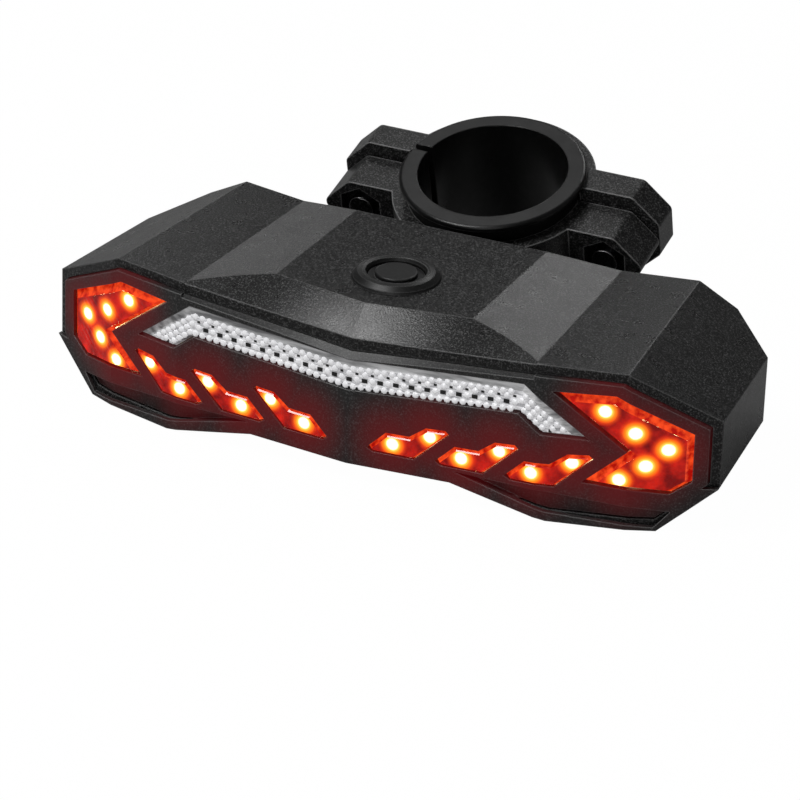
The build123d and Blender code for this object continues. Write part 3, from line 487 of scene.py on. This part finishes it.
finish_with(lamp_lit, "arrow_leds_right", "arrow_leds_left", "chevron_leds")
finish_with(lamp_unlit, "bar_leds")
finish_with(red_lens, "arrow_lens_right", "arrow_lens_left", *chevron_names)
finish_with(bar_white, "bar_lens")
print(len(nodes), "CAD nodes finished")

# %% [markdown]
# ## Outlines of the lenses
# A lens follows the V-shaped front plate, so its outline is drawn in x and z,
# in millimetres, and its depth comes from the plate's plan: three straight
# runs on each side. An inset outline gives the foot of the lens's sloping wall.


# %% Outline helpers
def face_depth(x):
    """Depth of the plate's face: straight runs between four places, the same left and right."""
    return np.interp(np.abs(x), [0, inner_crease, outer_crease, half_width], plate_depths)


def inset(points, step):
    """Each corner moves inwards along the sum of its sides' normals over 1 + their dot
    product, so every side moves by the step."""
    ahead = np.roll(points, -1, axis=0) - points
    after = np.roll(points, -1, axis=0)
    area = np.sum(points[:, 0] * after[:, 1] - points[:, 1] * after[:, 0])
    normal = np.stack([ahead[:, 1], -ahead[:, 0]], 1) * np.sign(area)
    normal /= np.linalg.norm(normal, axis=1, keepdims=True)
    before = np.roll(normal, 1, axis=0)
    turn = 1 + np.sum(normal * before, axis=1, keepdims=True)
    return points - step * (normal + before) / turn


def along(points, gap=0.5):
    """Edge number and weight of evenly spaced places on a closed outline, corners too."""
    length = np.linalg.norm(np.roll(points, -1, axis=0) - points, axis=1)
    count = np.maximum(1, np.ceil(length / gap)).astype(int)
    edge = np.repeat(np.arange(len(points)), count)
    first = np.repeat(np.cumsum(count) - count, count)
    return edge, (np.arange(count.sum()) - first) / np.repeat(count, count)


def at_places(points, places):
    """(1 - weight) times an edge's start plus weight times its end."""
    edge, weight = places
    after = np.roll(points, -1, axis=0)
    return points[edge] * (1 - weight[:, None]) + after[edge] * weight[:, None]


def in_part(x, y, z):
    """From the light's own millimetres to the part's metres."""
    return np.stack([x, y - origin_behind, z - origin_above], -1) / 1000


def inside(points, x, z):
    """Even-odd rule: the number of sides that a ray along x crosses."""
    x0, z0 = points[:, 0], points[:, 1]
    x1, z1 = np.roll(x0, -1), np.roll(z0, -1)
    spans = (z0 > z[:, None]) != (z1 > z[:, None])
    level = 1e-9
    cross = x0 + (z[:, None] - z0) * (x1 - x0) / np.where(z1 == z0, level, z1 - z0)
    return np.sum(spans & (x[:, None] < cross), axis=1) % 2 == 1


print("outline helpers ready")

# %% [markdown]
# ## Meshes that face the viewer
# Every new surface here looks towards -Y. One helper writes the arrays into a
# mesh, turns the faces round if their summed normal points the wrong way, and
# puts the piece on its body.


# %% Mesh helper
def facing_front(points, faces):
    """Faces reversed where the sum of their normals has a positive y."""
    faces = np.asarray(faces)
    a, b, c = (points[faces[:, k]] for k in range(3))
    total = np.cross(b - a, c - a).sum(axis=0)
    return faces[:, ::-1] if total[1] > 0 else faces


def new_piece(name, parts, materials, body, replaced=()):
    """A piece from several (points, faces, material number) arrays, put one after another."""
    points, faces, numbers, start = [], [], [], 0
    for part_points, part_faces, number in parts:
        points.append(part_points)
        faces += (facing_front(part_points, part_faces) + start).tolist()
        numbers += [number] * len(part_faces)
        start += len(part_points)
    mesh = bpy.data.meshes.new(name)
    mesh.from_pydata(np.concatenate(points).tolist(), [], faces)
    for material in materials:
        mesh.materials.append(material)
    mesh.polygons.foreach_set("material_index", np.array(numbers, dtype=np.int32))
    mesh.update()
    piece = bpy.data.objects.new(name, mesh)
    bpy.context.scene.collection.objects.link(piece)
    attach(piece, body)
    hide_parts(*replaced)
    print(name, len(mesh.polygons), "faces")
    return piece


# %% [markdown]
# ## A lens with a sloping edge
# Seen close, each lens has a broad chamfer that looks into the plastic's
# thickness, and a face with fine ribs under it. The chamfer is a profile of
# insets and depths carried round the outline. The face is a constrained
# Delaunay filling of the inner outline, with its points on the plate's crease
# lines, so that it bends where the plate bends.


# %% Chamfer and face
def wall(points, profile):
    """Grid of rings: ring k is the outline inset by profile[k][0] and lowered by profile[k][2],
    at face depth plus profile[k][1]."""
    places = along(points)
    rings = [at_places(inset(points, step) - np.array([0, drop]), places)
             for step, _, drop in profile]
    count = len(rings[0])
    grid = np.stack([in_part(r[:, 0], face_depth(r[:, 0]) + deep, r[:, 1])
                     for r, (_, deep, _) in zip(rings, profile)])
    k, n = np.meshgrid(np.arange(len(profile) - 1), np.arange(count), indexing="ij")
    after = (n + 1) % count
    quads = np.stack([k * count + n, k * count + after, (k + 1) * count + after,
                      (k + 1) * count + n], -1).reshape(-1, 4)
    return grid.reshape(-1, 3), quads


grid_reach = 69
grid_top = 33
creases = [-outer_crease, -inner_crease, 0, inner_crease, outer_crease]
crease_heights = np.linspace(1, 32, 60)
rim_clearance = 0.25
rib_height = 0.06
rib_waves = 5


def lens_face(points, deep, gap=0.7):
    """Triangles inside an outline, at face depth plus deep plus a low ripple:
    rib height times cos(rib waves x) cos(rib waves z), which is the rib pattern."""
    rim = at_places(points, along(points))
    x, z = np.meshgrid(np.arange(-grid_reach, grid_reach, gap), np.arange(0, grid_top, gap))
    x = np.concatenate([x.ravel(), np.repeat(creases, len(crease_heights))])
    z = np.concatenate([z.ravel(), np.tile(crease_heights, len(creases))])
    keep = inside(inset(points, rim_clearance), x, z)
    flat = np.concatenate([rim, np.stack([x[keep], z[keep]], 1)])
    edge = [list(range(len(rim)))]
    found = delaunay_2d_cdt([Vector(p) for p in flat.tolist()], [], edge, 1, 1e-6)
    spot = np.array([tuple(v) for v in found[0]])
    ripple = rib_height * np.cos(rib_waves * spot[:, 0]) * np.cos(rib_waves * spot[:, 1])
    depth = face_depth(spot[:, 0]) + deep + ripple
    return in_part(spot[:, 0], depth, spot[:, 1]), np.array(found[2])


def across(points):
    """The same outline on the left side."""
    return points[::-1] * np.array([-1, 1])


arrow_share = np.array([(0, .98), (.462, 1), (.998, .642), (1, .139), (.849, 0), (.241, .059),
                        (.553, .422)])
chevron_share = np.array([(0, .10), (.234, .61), (.519, .63), (.715, .96), (.949, 1), (1, .9),
                          (.582, .01), (.07, 0)])
arrow = np.array([arrow_start, arrow_low]) + arrow_share * np.array([arrow_wide, arrow_tall])
print("arrow outline", len(arrow), "corners")

# %% [markdown]
# ## Red wall of the lenses
# The chamfer is looked at edge-on through thick plastic, so it is lighter and
# more orange than the face, with small flaws that catch the lamps.

# %% Wall material and the red lenses
red_wall, tree, shader = new_material("red wall", Roughness=0.15, Specular_IOR_Level=0.3,
                                      Coat_Weight=0.3, Coat_Roughness=0.05, Emission_Strength=1.0)
where = add(tree, "ShaderNodeTexCoord")
flaws = add(tree, "ShaderNodeTexNoise", Scale=700.0, Detail=3.0)
join(tree, where.outputs["Object"], flaws.inputs["Vector"])
tone = two_tone(tree, flaws.outputs["Fac"], (0.36, 0.004, 0.002), (1.0, 0.085, 0.015), 0.35, 0.68)
shader.inputs["Base Color"].default_value = (0.2, 0.003, 0.002, 1)
join(tree, tone, shader.inputs["Emission Color"])


skirt_depth = 1.6
red_face_depth = 0.07
arrow_chamfer = (1.2, 1.2, 0.5)
chevron_chamfer = (0.62, 0.8, 0.25)


def cap_profile(step, deep, face_deep, drop):
    """A short straight skirt, a small round, and the chamfer up to the face: each point is
    an inset, a depth and a drop."""
    return [(0.1, skirt_depth, 0.0), (0.12, deep + 0.06, 0.0), (0.2, deep, 0.0),
            (step, face_deep, drop)]


def cap_parts(outline, step, deep, face_deep, drop):
    """The chamfer round an outline, and the ribbed face inside it."""
    face = inset(outline, step) - np.array([0, drop])
    return [(*wall(outline, cap_profile(step, deep, face_deep, drop)), 1),
            (*lens_face(face, face_deep), 0)]


def red_cap(name, outline, node, chamfer):
    """A red lens: a chamfer with its foot at a depth and its head inset by the step and
    lowered by the drop, and the ribbed face inside it."""
    step, deep, drop = chamfer
    piece = new_piece(name, cap_parts(outline, step, deep, red_face_depth, drop),
                      [red_lens, red_wall], "light", (node,))


red_cap("arrow_right_cap", arrow, "arrow_lens_right", arrow_chamfer)
red_cap("arrow_left_cap", across(arrow), "arrow_lens_left", arrow_chamfer)
chevron_size = np.array([chevron_wide, chevron_tall])
for number, order in enumerate(("inner", "middle", "outer")):
    corner = np.array([chevron_start + chevron_pitch * number, chevron_low])
    chevron = corner + chevron_share * chevron_size
    red_cap(f"chevron_right_{order}_cap", chevron, f"right_chevron_{order}", chevron_chamfer)
    red_cap(f"chevron_left_{order}_cap", across(chevron), f"left_chevron_{order}", chevron_chamfer)

# %% [markdown]
# ## The clear bar and its beads
# The bar has a chamfer as well, broad and grey along its top. On its white
# face stand rows of small domes. One bead is a grid of turns and heights; all
# beads are that grid added to every place at once. Between them lie small dark
# windows, through which the black inside shows.

# %% Bar outline and materials
upper_bend = 33.3
lower_bend = 32.4
bar_tip = 45.3
bar_heel = 36.7
bar_low = 16.9
bar_right = [(upper_bend, 26.3), (bar_tip, bar_low), (bar_heel, bar_low), (lower_bend, 20.3)]
bar_left = [(-x, z) for x, z in reversed(bar_right)]
bar = np.array([(0, 24.2), *bar_right, (0, 18.2), *bar_left])
bar_grey, tree, shader = new_material("bar grey", Roughness=0.12, Coat_Weight=0.5,
                                      Coat_Roughness=0.04)
where = add(tree, "ShaderNodeTexCoord")
stretch = add(tree, "ShaderNodeMapping")
stretch.inputs["Scale"].default_value = (0.25, 1, 2)
lines = add(tree, "ShaderNodeTexNoise", Scale=500.0, Detail=3.0)
join(tree, where.outputs["Object"], stretch.inputs["Vector"])
join(tree, stretch.outputs["Vector"], lines.inputs["Vector"])
greys = two_tone(tree, lines.outputs["Fac"], (0.2, 0.2, 0.205), (0.7, 0.7, 0.71), 0.36, 0.64)
join(tree, greys, shader.inputs["Base Color"])
# Painted glow: the chamfer's greys are also emitted faintly.
join(tree, greys, shader.inputs["Emission Color"])
shader.inputs["Emission Strength"].default_value = 0.25
bar_gap, *_ = grained("bar gap", 900, 0.1, (0.006,) * 3, (0.02,) * 3, 0.4)
print("bar", len(bar), "corners")


# %% Places of the beads
row_start = -32.2
row_end = 32.3
row_low = 18.5
row_high = 22.6
bar_rise = 2.1
arm_start = (33.0, 25.2)
arm_way = (0.787, 0.617)
arm_long = 15.5
arm_from = 32.6


def lattice(pitch, shift, fractions):
    """Places in rows along the middle of the bar, a fraction of the floor's height up from
    its lower edge: z = low(x) + fraction (high(x) - low(x))."""
    x = np.arange(row_start + shift, row_end, pitch)
    x, up = (v.ravel() for v in np.meshgrid(x, fractions))
    low = row_low + bar_rise * np.abs(x) / lower_bend
    high = row_high + bar_rise * np.abs(x) / upper_bend
    return x, low + up * (high - low)


def arm_lattice(pitch, rows):
    """Rows along both downturned ends: start plus t times the arm's way down plus a row's
    offset across it, kept where it is inside the inset outline."""
    t, row = (v.ravel() for v in np.meshgrid(np.arange(0.0, arm_long, pitch), rows))
    x = arm_start[0] + t * arm_way[0] - row * arm_way[1]
    z = arm_start[1] - t * arm_way[1] - row * arm_way[0]
    bead_margin = inset(bar, 1.3) - np.array([0, 0.4])
    keep = inside(bead_margin, x, z) & (x > arm_from)
    return np.concatenate([x[keep], -x[keep]]), np.concatenate([z[keep], z[keep]])


def beads(x, z, radius, high, deep, turns=8, rings=4):
    """A dome of turns and rings at each place: the ring at angle a has the radius r cos a
    and stands high sin a in front of the floor."""
    turn = np.linspace(0, 2 * np.pi, turns, endpoint=False)
    rise = np.linspace(0, np.pi / 2, rings)
    dx = radius * np.cos(rise)[:, None] * np.cos(turn)
    dz = radius * np.cos(rise)[:, None] * np.sin(turn)
    dy = -high * np.sin(rise)[:, None] * np.ones(turns)
    px = x[:, None] + dx.ravel()
    pz = z[:, None] + dz.ravel()
    py = face_depth(x)[:, None] + deep + dy.ravel()
    h, n = np.meshgrid(np.arange(rings - 1), np.arange(turns), indexing="ij")
    after = (n + 1) % turns
    quad = np.stack([h * turns + n, h * turns + after, (h + 1) * turns + after,
                     (h + 1) * turns + n], -1)
    first = np.arange(len(x))[:, None, None] * turns * rings
    return in_part(px.ravel(), py.ravel(), pz.ravel()), (first + quad.reshape(-1, 4)).reshape(-1, 4)


def windows(x, z, wide, tall, deep):
    """A flat dark rectangle at each place."""
    dx = wide / 2 * np.array([-1, 1, 1, -1])
    dz = tall / 2 * np.array([-1, -1, 1, 1])
    px, pz = x[:, None] + dx, z[:, None] + dz
    py = face_depth(px) + deep
    quads = np.arange(len(x) * 4).reshape(-1, 4)
    return in_part(px.ravel(), py.ravel(), pz.ravel()), quads


# %% Bar, beads and windows
bar_chamfer_wide = 1.1
bar_chamfer_deep = 1.2
bar_face_deep = 0.42
bar_drop = 0.5
bead_radius = 0.66
bead_high = 0.3
window_deep = 0.33
pitch = 3.0
upper_shift = 2.25
lower_shift = 0.75
bead_places = [lattice(pitch / 2, 0.0, [0.08, 0.92]), lattice(pitch, lower_shift, [0.42]),
               lattice(pitch, upper_shift, [0.7]), arm_lattice(1.45, [0.9, 2.0, 3.1, 4.2, 5.3])]
bead_x = np.concatenate([p[0] for p in bead_places])
bead_z = np.concatenate([p[1] for p in bead_places])
strong = lattice(pitch, upper_shift, [0.42])
faint = lattice(pitch, lower_shift, [0.72])
ends = arm_lattice(2.9, [1.45, 2.55, 3.65])
bar_cap = new_piece("bar_cap", cap_parts(bar, bar_chamfer_wide, bar_chamfer_deep, bar_face_deep,
                                         bar_drop), [bar_white, bar_grey], "light", ("bar_lens",))
domes = beads(bead_x, bead_z, bead_radius, bead_high, bar_face_deep)
bar_beads = new_piece("bar_beads", [(*domes, 0)], [bar_bead], "light")
bar_windows = new_piece("bar_windows", [(*windows(*strong, 1.1, 0.8, window_deep), 0),
                                        (*windows(*faint, 0.6, 0.45, window_deep), 0),
                                        (*windows(*ends, 0.6, 0.6, window_deep), 0)],
                        [bar_gap], "light")

# %% [markdown]
# ## White studio
# The picture has a plain white ground. The floor and the world are white to the
# camera and through glass, while their light on the object stays weak.


# %% Floor and world
def floor_square(name, far=3.0):
    """The floor: a square at the height on which the light rests."""
    high = -origin_above / 1000
    corners = np.array([(-far, -far, high), (far, -far, high), (far, far, high), (-far, far, high)])
    mesh = bpy.data.meshes.new(name)
    mesh.from_pydata(corners.tolist(), [], [(0, 1, 2, 3)])
    plane = bpy.data.objects.new(name, mesh)
    bpy.context.scene.collection.objects.link(plane)
    return plane


def seen_directly(tree):
    """One for a ray from the camera or through glass, nothing for any other."""
    rays = add(tree, "ShaderNodeLightPath")
    seen = add(tree, "ShaderNodeMath", operation="MAXIMUM")
    join(tree, rays.outputs["Is Camera Ray"], seen.inputs[0])
    join(tree, rays.outputs["Is Transmission Ray"], seen.inputs[1])
    return seen.outputs[0]


floor = floor_square("floor")
floor_white = bpy.data.materials.new("floor white")
floor_white.use_nodes = True
tree = floor_white.node_tree
tree.nodes.clear()
end = add(tree, "ShaderNodeOutputMaterial")
paper = add(tree, "ShaderNodeBsdfDiffuse", Color=(0.35, 0.35, 0.35, 1))
shine = add(tree, "ShaderNodeEmission", Color=(1, 1, 1, 1), Strength=1.02)
mix = add(tree, "ShaderNodeMixShader")
share = add(tree, "ShaderNodeMath", operation="MULTIPLY")
share.inputs[1].default_value = 0.97
join(tree, seen_directly(tree), share.inputs[0])
join(tree, share.outputs[0], mix.inputs[0])
join(tree, paper.outputs[0], mix.inputs[1])
join(tree, shine.outputs[0], mix.inputs[2])
join(tree, mix.outputs[0], end.inputs["Surface"])
floor.data.materials.append(floor_white)

world = bpy.data.worlds.new("studio")
bpy.context.scene.world = world
world.use_nodes = True
tree = world.node_tree
tree.nodes.clear()
end = add(tree, "ShaderNodeOutputWorld")
shown = add(tree, "ShaderNodeBackground", Color=(1, 1, 1, 1), Strength=1.0)
soft = add(tree, "ShaderNodeBackground", Color=(1, 1, 1, 1), Strength=0.09)
mix = add(tree, "ShaderNodeMixShader")
join(tree, seen_directly(tree), mix.inputs[0])
join(tree, soft.outputs[0], mix.inputs[1])
join(tree, shown.outputs[0], mix.inputs[2])
join(tree, mix.outputs[0], end.inputs["Surface"])
bpy.context.scene.view_settings.view_transform = "Standard"
print("studio is white")


# %% [markdown]
# ## Lamps
# A soft light stands where each set of facets mirrors it to the camera: two low
# ones behind for the sloping facets of the top, one above and in front for
# the bevel over the plate, one for the liner's flange, and a weak one in front.


# %% Soft lights
def soft_light(name, place, size, power):
    """A square area light at a place, turned to look at the origin."""
    data = bpy.data.lights.new(name, "AREA")
    data.shape = "SQUARE"
    data.size = size
    data.energy = power
    light = bpy.data.objects.new(name, data)
    bpy.context.scene.collection.objects.link(light)
    way = (-Vector(place)).to_track_quat("-Z", "Y")
    light.matrix_world = Matrix.Translation(Vector(place)) @ way.to_matrix().to_4x4()


soft_light("right back light", (-0.1, 1.0, 0.78), 0.28, 1.8)
soft_light("left back light", (-0.75, 0.96, 0.3), 0.25, 0.3)
soft_light("top light", (-0.42, -0.5, 1.1), 0.45, 12.0)
soft_light("flange light", (-0.45, 0.55, 0.95), 0.3, 0.5)
soft_light("front light", (0.25, -1.2, 0.3), 0.6, 2.5)
print("five soft lights")
